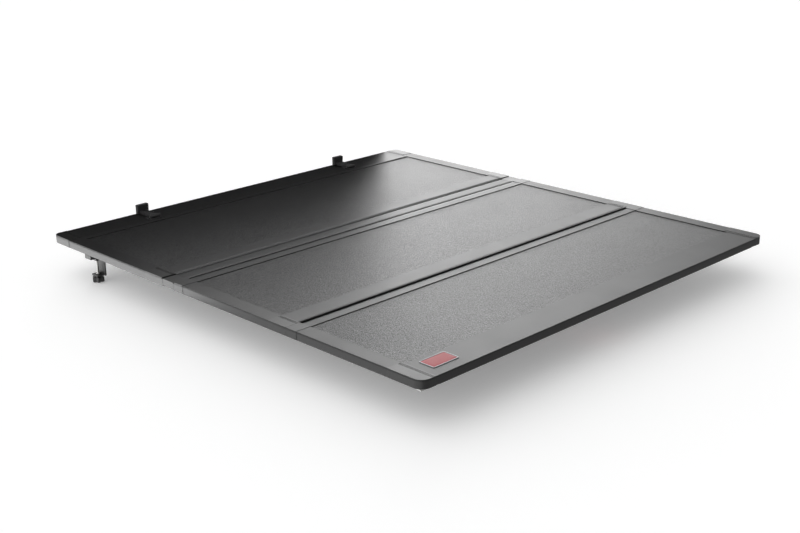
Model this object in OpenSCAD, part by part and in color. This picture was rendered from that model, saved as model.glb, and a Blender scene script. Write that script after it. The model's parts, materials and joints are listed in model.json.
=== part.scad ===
// Hard tri-fold tonneau cover: three framed sandwich panels on hinges, with stow
// hooks at the front, screw clamps for the front panel and a rod latch at the rear.
// Frame: +X is the vehicle's right, +Y forward, +Z up. The origin lies on the
// underside of the front seal, on the centre line. Stations run rearward from the
// cover's front edge.

/* [Overall] */
// Width over the corner caps
cover_w = 1670; // [1560:10:1760]
// Length of the front panel
front_panel_len = 648; // [640:1:649]
// Length of the middle panel
middle_panel_len = 530; // [529:1:538]
// Length of the rear panel, never longer than the middle panel
rear_panel_len = 528; // [500:1:528]
// Height of the rail tops above the bed rails
cover_h = 30; // [29:0.5:31]

/* [Frame rails] */
// Wall thickness of the aluminium rails
wall = 2; // [1.6:0.1:2.2]
// Width of the side rails seen from above
side_rail_w = 52; // [48:1:56]
// Width of the front header rail
header_w = 128; // [124:1:134]
// Width of the front panel's rear rail
front_rear_rail_w = 63; // [58:1:68]
// Width of the middle panel's front rail
middle_front_rail_w = 43; // [40:1:46]
// Width of the middle panel's rear rail
middle_rear_rail_w = 76; // [70:1:80]
// Width of the rear panel's front rail
rear_front_rail_w = 40; // [38:1:44]
// Width of the rear panel's rear rail
tail_rail_w = 110; // [108:1:116]
// Overlap of each rail's lips over the panel edge
lip_w = 18; // [14:1:20]
// Height of the bead along the header's rear edge
header_bead_h = 1.5; // [1:0.5:3]

/* [Sandwich panels] */
// Thickness of the textured top skin
skin_t = 2; // [1.5:0.5:3]
// Thickness of the flat lower skin
liner_t = 2; // [1.5:0.5:3]

/* [Corner caps] */
// How far the moulded caps stand out from the rails
cap_proud = 0.8; // [0.4:0.1:1]
// Length of the front corner caps
front_cap_len = 100; // [80:1:108]
// Length of the front panel's rear corner caps
front_rear_cap_len = 91; // [80:1:100]
// Length of the rear panel's rear corner caps
tail_cap_len = 126; // [118:1:140]
// Radius of the front corners in plan
front_corner_r = 25; // [15:1:30]
// Radius of the rear corners in plan
rear_corner_r = 30; // [20:1:34]

/* [Seals] */
// Height of the rubber seals below the rails
seal_h = 4; // [3.5:0.5:4]
// Width of the side seals
side_seal_w = 22; // [18:1:22]
// Width of the front seal
front_seal_w = 34; // [24:1:34]
// Width of the rear seal
rear_seal_w = 20; // [16:1:20]

/* [Hinges] */
// Width of the link strip between front and middle panels
link_w = 50; // [48:1:56]
// Radius of the beads on the two link hinges
bead_r = 1.9; // [1.8:0.05:2]
// Radius of the rear hinge pin
pin_r = 1.4; // [1.2:0.1:1.5]
// Radius of the rear hinge knuckles
knuckle_r = 2.8; // [2.6:0.1:2.9]

/* [Stow hooks] */
// Distance of each stow hook from the centre line
hook_x = 480; // [300:10:600]
// Width of the hook's upright lip
hook_w = 46; // [36:1:50]

/* [Front clamps] */
// Station of the clamp's centre
clamp_s = 180; // [150:5:300]
// Radius of the clamp stud
stud_r = 4; // [3:0.5:5]
// Radius of the hand knob
knob_r = 22; // [18:1:26]

/* [Rear latch] */
// Radius of the latch rods
rod_r = 4; // [3.5:0.5:4]
// Turn of the release handle in degrees
release_turn = 35; // [30:1:36]
// Radius of the drive pins from the hub's centre
drive_r = 22; // [21:1:22]

/* [Badge] */
// Size of the blank badge along X
badge_w = 98; // [60:1:110]
// Size of the blank badge along Y
badge_l = 58; // [40:1:60]

/* [Hidden] */
$fn = 48;

// Levels
rail_z0 = seal_h;
rail_z1 = cover_h;
pocket_z0 = rail_z0 + wall;
pocket_z1 = rail_z1 - wall;
groove_z0 = rail_z1 - 3.6;
groove_z1 = rail_z1 - 2;
groove_depth = 1.2;

// Widths: rail_x is the side rails' outer face and inner_x the ends of the cross rails
half_w = cover_w / 2;
rail_x = half_w - cap_proud;
inner_x = rail_x - side_rail_w;
side_chamber = side_rail_w - lip_w;
edge_gap = 1;
panel_x = rail_x - side_chamber - edge_gap;
edge_wall = 4;
slip = 0.1;
cap_w = half_w - inner_x;

// Stations along the cover, measured rearward from the front edge
front_edge = front_seal_w / 2 + 3;
link_gap = 4;
knuckle_gap = 4;
part_line = 0.3;
front_rear_s = front_panel_len;
hinge_a_s = front_rear_s + link_gap;
link_front_s = hinge_a_s + link_gap;
link_rear_s = link_front_s + link_w;
hinge_b_s = link_rear_s + link_gap;
middle_front_s = hinge_b_s + link_gap;
middle_rear_s = middle_front_s + middle_panel_len;
hinge_c_s = middle_rear_s + knuckle_gap;
rear_front_s = hinge_c_s + knuckle_gap;
tail_s = rear_front_s + rear_panel_len;

// Hinge heights
link_top = rail_z1 - 1.5;
link_hinge_z = link_top - 3;
link_z0 = rail_z0 + 2;
rear_hinge_z = rail_z1 + 1;
knuckle_ledge_z = rear_hinge_z - knuckle_r - 0.5;
run_gap = 0.05;

// Sandwich panel ends, from the rails' chambers
header_chamber = header_w - lip_w;
front_rear_chamber = front_rear_rail_w - lip_w;
middle_front_chamber = middle_front_rail_w - lip_w;
middle_rear_chamber = middle_rear_rail_w - lip_w;
rear_front_chamber = rear_front_rail_w - lip_w;
tail_chamber = tail_rail_w - lip_w;
front_sheet = [header_chamber + edge_gap, front_rear_s - front_rear_chamber - edge_gap];
middle_sheet = [middle_front_s + middle_front_chamber + edge_gap,
                middle_rear_s - middle_rear_chamber - edge_gap];
rear_sheet = [rear_front_s + rear_front_chamber + edge_gap,
              tail_s - tail_chamber - edge_gap];

// Side rail ends, between the caps
front_side = [front_cap_len, front_rear_s - front_rear_cap_len];
middle_side = [middle_front_s + middle_front_rail_w, middle_rear_s - middle_rear_rail_w];
rear_side = [rear_front_s + rear_front_rail_w, tail_s - tail_cap_len];

// Seal feet and caps' spigots
slot_w = 4.2;
side_slot_a = 14;
front_slot_d = front_edge;
tail_slot_d = 13;
spigot_l = 30;
screw_r = 2;
screw_gap = 0.1;
screw_head_r = 3.6;
screw_head_h = 2.2;
screw_top = rail_z0 + 10;

// Rounding of the top edges along the hinges: how far it reaches and how far it drops
rail_ease = [12, 2.4];
link_ease = [8, 1.4];
ease_steps = 6;

// Stow hooks: the pad meets the underside of the folded middle panel's rear rail
stack_front_s = hinge_a_s + hinge_b_s - hinge_c_s;
hook_s = stack_front_s - 18;
hook_z = rail_z1 + 9;
stack_z = 2 * link_hinge_z + (hinge_b_s - hinge_a_s) - rail_z0;
hook_reach = stack_z - hook_z + 0.3;
hook_lip_t = 14;
hook_pad_t = 4;
hook_pin_r = 2.5;
hook_hub_r = 6;
hook_arm_w = 30;
hook_lip_top = hook_z + 28;
hook_ear_w = 6;
hook_base_t = 2.5;

// Front clamps
clamp_y_w = 50;
clamp_stud_x = rail_x - 54;
bracket_web_x = clamp_stud_x - 18;
bracket_t = 5;
bracket_low = -90;
jaw_top = -10;
jaw_travel = 10;
jaw_reach_x = rail_x - 20;
knob_h = 22;

// Rear latch
tail_cell = 18;
channel_d0 = edge_wall + tail_cell + 4;
channel_w = 62;
channel_top = rail_z1 - 10;
hub_s = tail_s - channel_d0 - channel_w / 2;
half_turn = release_turn / 2;
drive_x = drive_r * sin(half_turn);
drive_y = drive_r * cos(half_turn);
drive_pin_r = 2.5;
rod_travel = 2 * drive_x;
rod_y = (drive_y + drive_r) / 2;
rod_z = 9;
rod_plate_t = 4;
rod_plate_w = 16;
shaft_r = 5;
hub_z = 4;
hub_t = 3;
lever_l = 85;
lever_t = 6.5;
bolt_top = -8.5;
bolt_bottom = -13;
bolt_x = rail_x - 22;
riser_x = inner_x - 24;

function y_at(s) = front_edge - s;
function cell_w(chamber, cells) = (chamber - edge_wall - wall * cells) / cells;
function knuckle_l() = 2 * inner_x / 5;
function eased(ease, top) = [for (i = [0 : ease_steps])
    [ease[0] * (1 - i / ease_steps), top - ease[1] * pow(i / ease_steps, 2)]];

// ---- Placing helpers ----

// Extrudes a (y, z) section along X
module along_x(x0, x1) {
    translate([x0, 0, 0]) rotate([90, 0, 90]) linear_extrude(x1 - x0) children();
}

// Extrudes an (x, z) section along Y, between two stations
module between(s0, s1) {
    translate([0, y_at(s0), 0]) rotate([90, 0, 0]) linear_extrude(s1 - s0) children();
}

// Puts a section's outer edge at a station, with the section growing rearward
module growing_rearward(s) {
    translate([0, y_at(s), 0]) mirror([0, 1, 0]) children();
}

// Puts a section's outer edge at a station, with the section growing forward
module growing_forward(s) {
    translate([0, y_at(s), 0]) children();
}

module on_right() {
    mirror([1, 0, 0]) children();
}

module both_sides() {
    children();
    on_right() children();
}

// A block between two X values, two stations and two heights
module block(x0, x1, s0, s1, z0, z1) {
    translate([x0, y_at(s1), z0]) cube([x1 - x0, s1 - s0, z1 - z0]);
}

// An upright round bar on a station
module post(x, s, z0, z1, r) {
    translate([x, y_at(s), z0]) cylinder(r = r, h = z1 - z0);
}

// ---- Rail sections: x runs inward from the rail's outer edge ----

// Outline of an exposed rail: upright face with a shadow groove just below its top edge
module exposed_outline(width, chamber) {
    polygon([
        [0.8, rail_z0], [0, rail_z0 + 3], [0, groove_z0], [groove_depth, groove_z0],
        [groove_depth, groove_z1], [0, groove_z1], [0, rail_z1 - 0.6], [0.6, rail_z1],
        [width, rail_z1], [width, pocket_z1], [chamber, pocket_z1],
        [chamber, pocket_z0], [width, pocket_z0], [width, rail_z0]
    ]);
}

// Outline of a rail beside a hinge: square face with a wide rounding on top
module hinge_outline(width, chamber) {
    polygon(concat(
        [[0, rail_z0], [width, rail_z0], [width, pocket_z0], [chamber, pocket_z0],
         [chamber, pocket_z1], [width, pocket_z1], [width, rail_z1]],
        eased(rail_ease, rail_z1)
    ));
}

// The hollow cells inside a rail's chamber
module cells_2d(chamber, cells) {
    cell = cell_w(chamber, cells);
    for (i = [0 : cells - 1]) {
        translate([edge_wall + i * (cell + wall), pocket_z0]) square([cell, pocket_z1 - pocket_z0]);
    }
}

// The slot that holds a seal's foot
module seal_slot_2d(d) {
    translate([d - slot_w / 2, rail_z0 - 1]) square([slot_w, wall + 1.5]);
}

module side_section() {
    difference() {
        exposed_outline(side_rail_w, side_chamber);
        cells_2d(side_chamber, 1);
        seal_slot_2d(side_slot_a);
    }
}

module header_section() {
    bead = [header_w - 18, header_w - 13, header_w - 7, header_w];
    difference() {
        union() {
            exposed_outline(header_w, header_chamber);
            polygon([
                [bead[0], rail_z1 - 0.5], [bead[0], rail_z1], [bead[1], rail_z1 + header_bead_h],
                [bead[2], rail_z1 + header_bead_h], [bead[3], rail_z1], [bead[3], rail_z1 - 0.5]
            ]);
        }
        cells_2d(header_chamber, 3);
        seal_slot_2d(front_slot_d);
    }
}

module tail_section() {
    roof_cell = (channel_w - wall) / 2;
    difference() {
        exposed_outline(tail_rail_w, tail_chamber);
        translate([edge_wall, pocket_z0]) square([tail_cell, pocket_z1 - pocket_z0]);
        translate([channel_d0, rail_z0 - 1]) square([channel_w, channel_top - rail_z0 + 1]);
        for (i = [0, 1]) {
            translate([channel_d0 + i * (roof_cell + wall), channel_top + wall])
                square([roof_cell, pocket_z1 - channel_top - wall]);
        }
        seal_slot_2d(tail_slot_d);
    }
}

module hinge_section(width, chamber) {
    difference() {
        hinge_outline(width, chamber);
        cells_2d(chamber, 1);
    }
}

// Round bead on a neck, carried outside a hinge rail's edge
module bead_2d() {
    translate([-link_gap, link_hinge_z]) {
        circle(bead_r);
        rotate(-45) translate([0, -0.6]) square([6.4, 1.2]);
    }
}

// Socket of the link strip, open towards -x by 140 degrees
module socket_2d() {
    far = 8;
    mouth = 70;
    difference() {
        union() {
            circle(bead_r + 1.7);
            translate([bead_r + 1, -1.7]) square([1.6, 3.4]);
        }
        circle(bead_r + run_gap);
        polygon([[0, 0], [-far * cos(mouth), far * sin(mouth)], [-far, far],
                 [-far, -far], [-far * cos(mouth), -far * sin(mouth)]]);
    }
}

module link_section() {
    cell = (link_w - 4 * wall) / 3;
    edge = eased(link_ease, link_top);
    difference() {
        polygon(concat(
            [[0, link_z0], [link_w, link_z0]],
            [for (i = [ease_steps : -1 : 0]) [link_w - edge[i][0], edge[i][1]]],
            edge
        ));
        for (i = [0 : 2]) {
            translate([wall + i * (cell + wall), link_z0 + wall])
                square([cell, link_top - link_z0 - 2 * wall]);
        }
    }
    translate([-link_gap, link_hinge_z]) socket_2d();
    translate([link_w + link_gap, link_hinge_z]) mirror([1, 0]) socket_2d();
}

// Low ledge under the rear hinge's knuckles, along the whole rail
module ledge_2d() {
    translate([part_line - knuckle_gap, rail_z0]) square([knuckle_gap, knuckle_ledge_z - rail_z0]);
}

// One knuckle, standing on its own rail's ledge
module knuckle_2d() {
    translate([-knuckle_gap, 0]) difference() {
        union() {
            translate([0, rear_hinge_z]) circle(knuckle_r);
            translate([part_line, knuckle_ledge_z - 0.5])
                square([knuckle_r - part_line, rear_hinge_z - knuckle_ledge_z + 0.5]);
        }
        translate([0, rear_hinge_z]) circle(pin_r + run_gap);
    }
}

// Knuckles of one leaf of the rear hinge, taken from five equal places
module knuckles(places) {
    for (i = places) {
        along_x(-inner_x + i * knuckle_l() + part_line, -inner_x + (i + 1) * knuckle_l() - part_line)
            knuckle_2d();
    }
}

// Seal: a tapered pad with a barbed foot
module seal_pad_2d(w) {
    polygon([[-w / 2 + 3, 0], [w / 2 - 3, 0], [w / 2, rail_z0 - 1.5], [w / 2, rail_z0],
             [-w / 2, rail_z0], [-w / 2, rail_z0 - 1.5]]);
}

module seal_foot_2d() {
    translate([-slot_w / 2 + slip, rail_z0 - 0.5]) square([slot_w - 2 * slip, wall + 1]);
    polygon([[-3.4, pocket_z0], [3.4, pocket_z0], [1.5, pocket_z0 + 2.5], [-1.5, pocket_z0 + 2.5]]);
}

// ---- Screws: pan heads under the rails, shanks up into the caps' spigots ----

module screw(p) {
    post(p[0], p[1], rail_z0 - screw_head_h, rail_z0, screw_head_r);
    post(p[0], p[1], rail_z0 - 0.5, screw_top, screw_r);
}

module screw_holes(points) {
    for (p = points) post(p[0], p[1], rail_z0 - 1, screw_top + 1, screw_r + screw_gap);
}

// Screw places on the left side, as [x, station]
side_screw_x = -rail_x + side_chamber - 5;
cross_screw_x = -inner_x + spigot_l / 2;
front_screws = [
    [side_screw_x, front_side[0] + spigot_l / 2], [side_screw_x, front_side[1] - spigot_l / 2],
    [cross_screw_x, header_chamber / 2], [cross_screw_x, front_rear_s - edge_wall - 18]
];
middle_screws = [
    [side_screw_x, middle_side[0] + spigot_l / 2], [side_screw_x, middle_side[1] - spigot_l / 2],
    [cross_screw_x, middle_front_s + edge_wall + 9], [cross_screw_x, middle_rear_s - edge_wall - 20]
];
rear_screws = [
    [side_screw_x, rear_side[0] + spigot_l / 2], [side_screw_x, rear_side[1] - spigot_l / 2],
    [cross_screw_x, rear_front_s + edge_wall + 8], [cross_screw_x - 8, tail_s - edge_wall - 4]
];
bracket_screws = [for (side = [-1, 1]) [-inner_x - lip_w / 2, clamp_s + side * clamp_y_w / 3]];

module screw_group(points) {
    both_sides() for (p = points) screw(p);
}

// ---- Panel parts ----

// A flat sheet of a sandwich panel, between two heights
module sheet(ends, z0, z1) {
    block(-panel_x, panel_x, ends[0], ends[1], z0, z1);
}

// The space a sandwich panel needs inside the caps
module pocket(ends) {
    block(-panel_x - edge_gap, panel_x + edge_gap, ends[0] - edge_gap, ends[1] + edge_gap,
          pocket_z0, pocket_z1);
}

module skin(ends) {
    color([0.10, 0.10, 0.11]) sheet(ends, pocket_z1 - skin_t, pocket_z1);
}

module core(ends) {
    color([0.75, 0.72, 0.60]) sheet(ends, pocket_z0 + liner_t, pocket_z1 - skin_t);
}

module liner(ends) {
    color([0.16, 0.16, 0.17]) sheet(ends, pocket_z0, pocket_z0 + liner_t);
}

// Left side rail; the right one is its mirror image
module side_rail(ends, screws) {
    color([0.05, 0.05, 0.06]) difference() {
        translate([-rail_x, 0, 0]) between(ends[0], ends[1]) side_section();
        screw_holes(screws);
    }
}

module cross_rail_colour() {
    color([0.05, 0.05, 0.06]) children();
}

// Quarter waste that rounds a square corner at the origin
module corner_waste(r) {
    if (r > 0) difference() {
        translate([-1, -1]) square(r + 1);
        translate([r, r]) circle(r);
    }
}

// Plan of a left cap between two stations, drawn in on its exposed sides. An end with a
// corner radius is exposed; an end without one meets a hinge.
module cap_plan(s0, s1, front_r, rear_r, inset) {
    front_y = y_at(s0) - (front_r > 0 ? inset : 0);
    rear_y = y_at(s1) + (rear_r > 0 ? inset : 0);
    translate([-half_w + inset, 0]) difference() {
        translate([0, rear_y]) square([cap_w - inset, front_y - rear_y]);
        translate([0, rear_y]) corner_waste(rear_r - inset);
        translate([0, front_y]) mirror([0, 1]) corner_waste(front_r - inset);
    }
}

// Body of a left cap, with the rails' shadow groove carried around its exposed sides
module cap_body(s0, s1, front_r, rear_r) {
    levels = [rail_z0, groove_z0, groove_z1, rail_z1 + cap_proud];
    insets = [0, groove_depth, 0];
    for (i = [0 : 2]) {
        translate([0, 0, levels[i]]) linear_extrude(levels[i + 1] - levels[i])
            cap_plan(s0, s1, front_r, rear_r, insets[i]);
    }
}

// Spigot into the side rail's cell, reaching from a cap's end to station s1
module side_spigot(s0, s1) {
    x0 = -rail_x + edge_wall + slip;
    block(x0, x0 + cell_w(side_chamber, 1) - 2 * slip, s0, s1, pocket_z0 + slip, pocket_z1 - slip);
}

// Spigot into a cross rail's cell, between two stations
module cross_spigot(s0, s1) {
    block(-inner_x - 1, -inner_x + spigot_l, s0 + slip, s1 - slip, pocket_z0 + slip, pocket_z1 - slip);
}

// Three shadow lines along a cap's top, beside its inner edge
module cap_grooves(s0, s1) {
    for (d = [5, 9, 13]) {
        block(-inner_x - d - 1.4, -inner_x - d, s0 - 1, s1 + 1, rail_z1 - 0.4, rail_z1 + 5);
    }
}

module cap_colour() {
    color([0.07, 0.07, 0.07]) children();
}

// ---- Front panel ----

module front_panel_skin() skin(front_sheet);
module front_panel_core() core(front_sheet);
module front_panel_liner() liner(front_sheet);

module front_header_rail() {
    cross_rail_colour() difference() {
        growing_rearward(0) along_x(-inner_x, inner_x) header_section();
        both_sides() screw_holes(front_screws);
    }
}

module front_panel_rear_rail() {
    cross_rail_colour() difference() {
        growing_forward(front_rear_s) along_x(-inner_x, inner_x) {
            hinge_section(front_rear_rail_w, front_rear_chamber);
            bead_2d();
        }
        both_sides() screw_holes(front_screws);
    }
}

module front_panel_left_rail() side_rail(front_side, concat(front_screws, bracket_screws));
module front_panel_right_rail() on_right() front_panel_left_rail();

module front_left_corner() {
    cell = cell_w(header_chamber, 3);
    cell_s = edge_wall + cell + wall;
    cap_colour() difference() {
        union() {
            cap_body(0, front_cap_len, front_corner_r, 0);
            side_spigot(front_cap_len - 1, front_cap_len + spigot_l);
            cross_spigot(cell_s, cell_s + cell);
        }
        cap_grooves(0, front_cap_len);
        screw_holes(front_screws);
    }
}

module front_right_corner() on_right() front_left_corner();

module front_panel_rear_left_corner() {
    s0 = front_rear_s - front_rear_cap_len;
    cap_colour() difference() {
        union() {
            cap_body(s0, front_rear_s, 0, 0);
            block(-half_w, -inner_x, front_rear_s - 1, hinge_a_s - part_line, rail_z0, link_hinge_z);
            side_spigot(s0 - spigot_l, s0 + 1);
            cross_spigot(front_rear_s - edge_wall - cell_w(front_rear_chamber, 1),
                         front_rear_s - edge_wall);
        }
        pocket(front_sheet);
        cap_grooves(s0, front_rear_s);
        screw_holes(front_screws);
    }
}

module front_panel_rear_right_corner() on_right() front_panel_rear_left_corner();

module front_seal() {
    color([0.03, 0.03, 0.03]) growing_rearward(0) {
        along_x(-inner_x + 8, inner_x - 8) translate([front_slot_d, 0]) seal_pad_2d(front_seal_w);
        along_x(-inner_x + 50, inner_x - 50) translate([front_slot_d, 0]) seal_foot_2d();
    }
}

// Side seals of one panel: pads under rail and caps, feet in the rail's slot only
module side_seals(s0, s1, ends) {
    color([0.03, 0.03, 0.03]) both_sides() translate([-rail_x + side_slot_a, 0, 0]) {
        between(s0, s1) seal_pad_2d(side_seal_w);
        between(ends[0] + spigot_l + 5, ends[1] - spigot_l - 5) seal_foot_2d();
    }
}

module front_panel_side_seals() side_seals(front_corner_r + 20, front_rear_s + link_gap - 1, front_side);

module front_panel_screws() {
    color([0.6, 0.6, 0.62]) {
        screw_group(front_screws);
        both_sides() for (p = bracket_screws) bracket_screw(p);
    }
}

// ---- Link strip ----

module hinge_link() {
    color([0.05, 0.05, 0.06]) growing_rearward(link_front_s) along_x(-inner_x, inner_x) link_section();
}

module hinge_link_end_caps() {
    cell = (link_w - 4 * wall) / 3;
    s0 = link_front_s + 2 * wall + cell;
    cap_colour() both_sides() {
        translate([-half_w, 0, link_z0]) linear_extrude(link_top - link_z0)
            translate([0, y_at(hinge_b_s - part_line)])
                square([cap_w, hinge_b_s - hinge_a_s - 2 * part_line]);
        block(-inner_x - 1, -inner_x + spigot_l, s0 + slip, s0 + cell - slip,
              link_z0 + wall + slip, link_top - wall - slip);
    }
}

// ---- Middle panel ----

module middle_panel_skin() skin(middle_sheet);
module middle_panel_core() core(middle_sheet);
module middle_panel_liner() liner(middle_sheet);

module middle_panel_front_rail() {
    cross_rail_colour() difference() {
        growing_rearward(middle_front_s) along_x(-inner_x, inner_x) {
            hinge_section(middle_front_rail_w, middle_front_chamber);
            bead_2d();
        }
        both_sides() screw_holes(middle_screws);
    }
}

module middle_panel_rear_rail() {
    cross_rail_colour() difference() {
        growing_forward(middle_rear_s) {
            along_x(-inner_x, inner_x) {
                hinge_section(middle_rear_rail_w, middle_rear_chamber);
                ledge_2d();
            }
            knuckles([0, 2, 4]);
        }
        both_sides() screw_holes(middle_screws);
    }
}

module middle_panel_left_rail() side_rail(middle_side, middle_screws);
module middle_panel_right_rail() on_right() middle_panel_left_rail();

module middle_panel_front_caps() {
    s1 = middle_side[0];
    cap_colour() both_sides() difference() {
        union() {
            cap_body(middle_front_s, s1, 0, 0);
            block(-half_w, -inner_x, hinge_b_s + part_line, middle_front_s + 1, rail_z0, link_hinge_z);
            side_spigot(s1 - 1, s1 + spigot_l);
            cross_spigot(middle_front_s + edge_wall,
                         middle_front_s + edge_wall + cell_w(middle_front_chamber, 1));
        }
        pocket(middle_sheet);
        screw_holes(middle_screws);
    }
}

module middle_panel_rear_left_corner() {
    s0 = middle_side[1];
    cap_colour() difference() {
        union() {
            cap_body(s0, hinge_c_s - part_line, 0, 0);
            side_spigot(s0 - spigot_l, s0 + 1);
            cross_spigot(middle_rear_s - edge_wall - cell_w(middle_rear_chamber, 1),
                         middle_rear_s - edge_wall);
        }
        pocket(middle_sheet);
        cap_grooves(s0, hinge_c_s);
        screw_holes(middle_screws);
    }
}

module middle_panel_rear_right_corner() on_right() middle_panel_rear_left_corner();

module middle_panel_side_seals() side_seals(hinge_b_s + 1, hinge_c_s - 1, middle_side);

module middle_panel_screws() {
    color([0.6, 0.6, 0.62]) screw_group(middle_screws);
}

module rear_hinge_pin() {
    color([0.7, 0.7, 0.72]) translate([-inner_x, y_at(hinge_c_s), rear_hinge_z]) rotate([0, 90, 0])
        cylinder(r = pin_r, h = 2 * inner_x);
}

// ---- Rear panel ----

module rear_panel_skin() skin(rear_sheet);
module rear_panel_core() core(rear_sheet);
module rear_panel_liner() liner(rear_sheet);

module rear_panel_front_rail() {
    cross_rail_colour() difference() {
        growing_rearward(rear_front_s) {
            along_x(-inner_x, inner_x) {
                hinge_section(rear_front_rail_w, rear_front_chamber);
                ledge_2d();
            }
            knuckles([1, 3]);
        }
        both_sides() screw_holes(rear_screws);
    }
}

module tail_rail() {
    cross_rail_colour() difference() {
        growing_forward(tail_s) along_x(-inner_x, inner_x) tail_section();
        both_sides() screw_holes(rear_screws);
    }
}

module rear_panel_left_rail() side_rail(rear_side, rear_screws);
module rear_panel_right_rail() on_right() rear_panel_left_rail();

module rear_panel_front_caps() {
    s1 = rear_side[0];
    cap_colour() both_sides() difference() {
        union() {
            cap_body(hinge_c_s + part_line, s1, 0, 0);
            side_spigot(s1 - 1, s1 + spigot_l);
            cross_spigot(rear_front_s + edge_wall,
                         rear_front_s + edge_wall + cell_w(rear_front_chamber, 1));
        }
        pocket(rear_sheet);
        screw_holes(rear_screws);
    }
}

module rear_left_corner() {
    s0 = tail_s - tail_cap_len;
    cap_colour() difference() {
        union() {
            cap_body(s0, tail_s, 0, rear_corner_r);
            side_spigot(s0 - spigot_l, s0 + 1);
            cross_spigot(tail_s - edge_wall - tail_cell, tail_s - edge_wall);
        }
        pocket(rear_sheet);
        cap_grooves(s0, tail_s);
        screw_holes(rear_screws);
    }
}

module rear_right_corner() on_right() rear_left_corner();

module rear_seal() {
    color([0.03, 0.03, 0.03]) growing_forward(tail_s) {
        along_x(-inner_x + 14, inner_x - 14) translate([tail_slot_d, 0]) seal_pad_2d(rear_seal_w);
        along_x(-inner_x + 50, inner_x - 50) translate([tail_slot_d, 0]) seal_foot_2d();
    }
}

module rear_panel_side_seals() side_seals(hinge_c_s + 1, tail_s - rear_corner_r, rear_side);

module rear_panel_screws() {
    color([0.6, 0.6, 0.62]) screw_group(rear_screws);
}

// Blank badge plate with a raised rim, near the rear left corner; thin enough to clear the middle
// panel's front rail when the rear panel is folded over
module badge() {
    badge_s = tail_s - 38 - badge_l / 2;
    badge_x = -half_w + 84 + badge_w / 2;
    rim = 4;
    rim_h = 1.6;
    plate_h = 1.1;
    color([0.75, 0.12, 0.12]) difference() {
        block(badge_x - badge_w / 2, badge_x + badge_w / 2, badge_s - badge_l / 2,
              badge_s + badge_l / 2, rail_z1, rail_z1 + rim_h);
        block(badge_x - badge_w / 2 + rim, badge_x + badge_w / 2 - rim, badge_s - badge_l / 2 + rim,
              badge_s + badge_l / 2 - rim, rail_z1 + plate_h, rail_z1 + rim_h + 1);
    }
}

// ---- Stow hooks ----

// Round bar along X through the hook's pivot, centred on x = 0
module pivot_bar(w, r) {
    translate([-w / 2, y_at(hook_s), hook_z]) rotate([0, 90, 0]) cylinder(r = r, h = w);
}

// Hinge base with two ears, centred on x = 0
module hook_base() {
    ear_x = hook_arm_w / 2 + 0.7;
    difference() {
        union() {
            block(-ear_x - hook_ear_w, ear_x + hook_ear_w, hook_s - 30, hook_s + 13,
                  rail_z1, rail_z1 + hook_base_t);
            for (x = [-ear_x - hook_ear_w, ear_x]) {
                translate([x, y_at(hook_s), hook_z]) rotate([0, 90, 0])
                    cylinder(r = hook_hub_r, h = hook_ear_w);
                block(x, x + hook_ear_w, hook_s - hook_hub_r, hook_s + hook_hub_r, rail_z1, hook_z);
            }
        }
        pivot_bar(100, hook_pin_r + run_gap);
    }
}

// Arm with its upright lip, lying forward, centred on x = 0
module hook_arm() {
    lip_s = hook_s - hook_reach - hook_pad_t;
    arm_t = 10;
    difference() {
        union() {
            pivot_bar(hook_arm_w, hook_hub_r);
            block(-hook_arm_w / 2, hook_arm_w / 2, lip_s - hook_lip_t, hook_s,
                  hook_z - arm_t / 2, hook_z + arm_t / 2);
            block(-hook_w / 2, hook_w / 2, lip_s - hook_lip_t, lip_s, hook_z - arm_t / 2, hook_lip_top);
            for (x = [-hook_arm_w / 2 + 4, hook_arm_w / 2 - 7]) {
                block(x, x + 3, lip_s - 1, hook_s - 14, hook_z, hook_z + arm_t / 2 + 3);
            }
        }
        pivot_bar(100, hook_pin_r + run_gap);
    }
}

module hook_pad() {
    lip_s = hook_s - hook_reach - hook_pad_t;
    block(-hook_w / 2 + 2, hook_w / 2 - 2, lip_s, lip_s + hook_pad_t,
          hook_lip_top - 16, hook_lip_top - 1);
}

module stow_hook_bases() {
    color([0.06, 0.06, 0.06]) for (x = [-hook_x, hook_x]) translate([x, 0, 0]) hook_base();
}

module stow_hook_pins() {
    color([0.7, 0.7, 0.72]) for (x = [-hook_x, hook_x]) translate([x, 0, 0])
        pivot_bar(hook_arm_w + 2 * hook_ear_w + 3, hook_pin_r);
}

module left_stow_hook() color([0.06, 0.06, 0.06]) translate([-hook_x, 0, 0]) hook_arm();
module right_stow_hook() color([0.06, 0.06, 0.06]) translate([hook_x, 0, 0]) hook_arm();
module left_hook_pad() color([0.03, 0.03, 0.03]) translate([-hook_x, 0, 0]) hook_pad();
module right_hook_pad() color([0.03, 0.03, 0.03]) translate([hook_x, 0, 0]) hook_pad();

// ---- Front clamps, drawn on the left ----

module bracket_screw(p) {
    post(p[0], p[1], rail_z0 - bracket_t - screw_head_h, rail_z0 - bracket_t, screw_head_r);
    post(p[0], p[1], rail_z0 - bracket_t - 0.5, pocket_z0 - 0.4, screw_r);
}

module clamp_bracket() {
    s0 = clamp_s - clamp_y_w / 2;
    s1 = clamp_s + clamp_y_w / 2;
    foot_x = -inner_x - lip_w;
    difference() {
        union() {
            block(foot_x, -bracket_web_x, s0, s1, rail_z0 - bracket_t, rail_z0);
            block(-bracket_web_x - bracket_t, -bracket_web_x, s0, s1, bracket_low, rail_z0);
            block(-clamp_stud_x - 14, -bracket_web_x, s0 + 8, s1 - 8, bracket_low, bracket_low + bracket_t);
        }
        post(-clamp_stud_x, clamp_s, bracket_low - 1, bracket_low + bracket_t + 1, stud_r + run_gap);
        for (p = bracket_screws) {
            post(p[0], p[1], rail_z0 - bracket_t - 1, rail_z0 + 1, screw_r + screw_gap);
        }
    }
}

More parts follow.
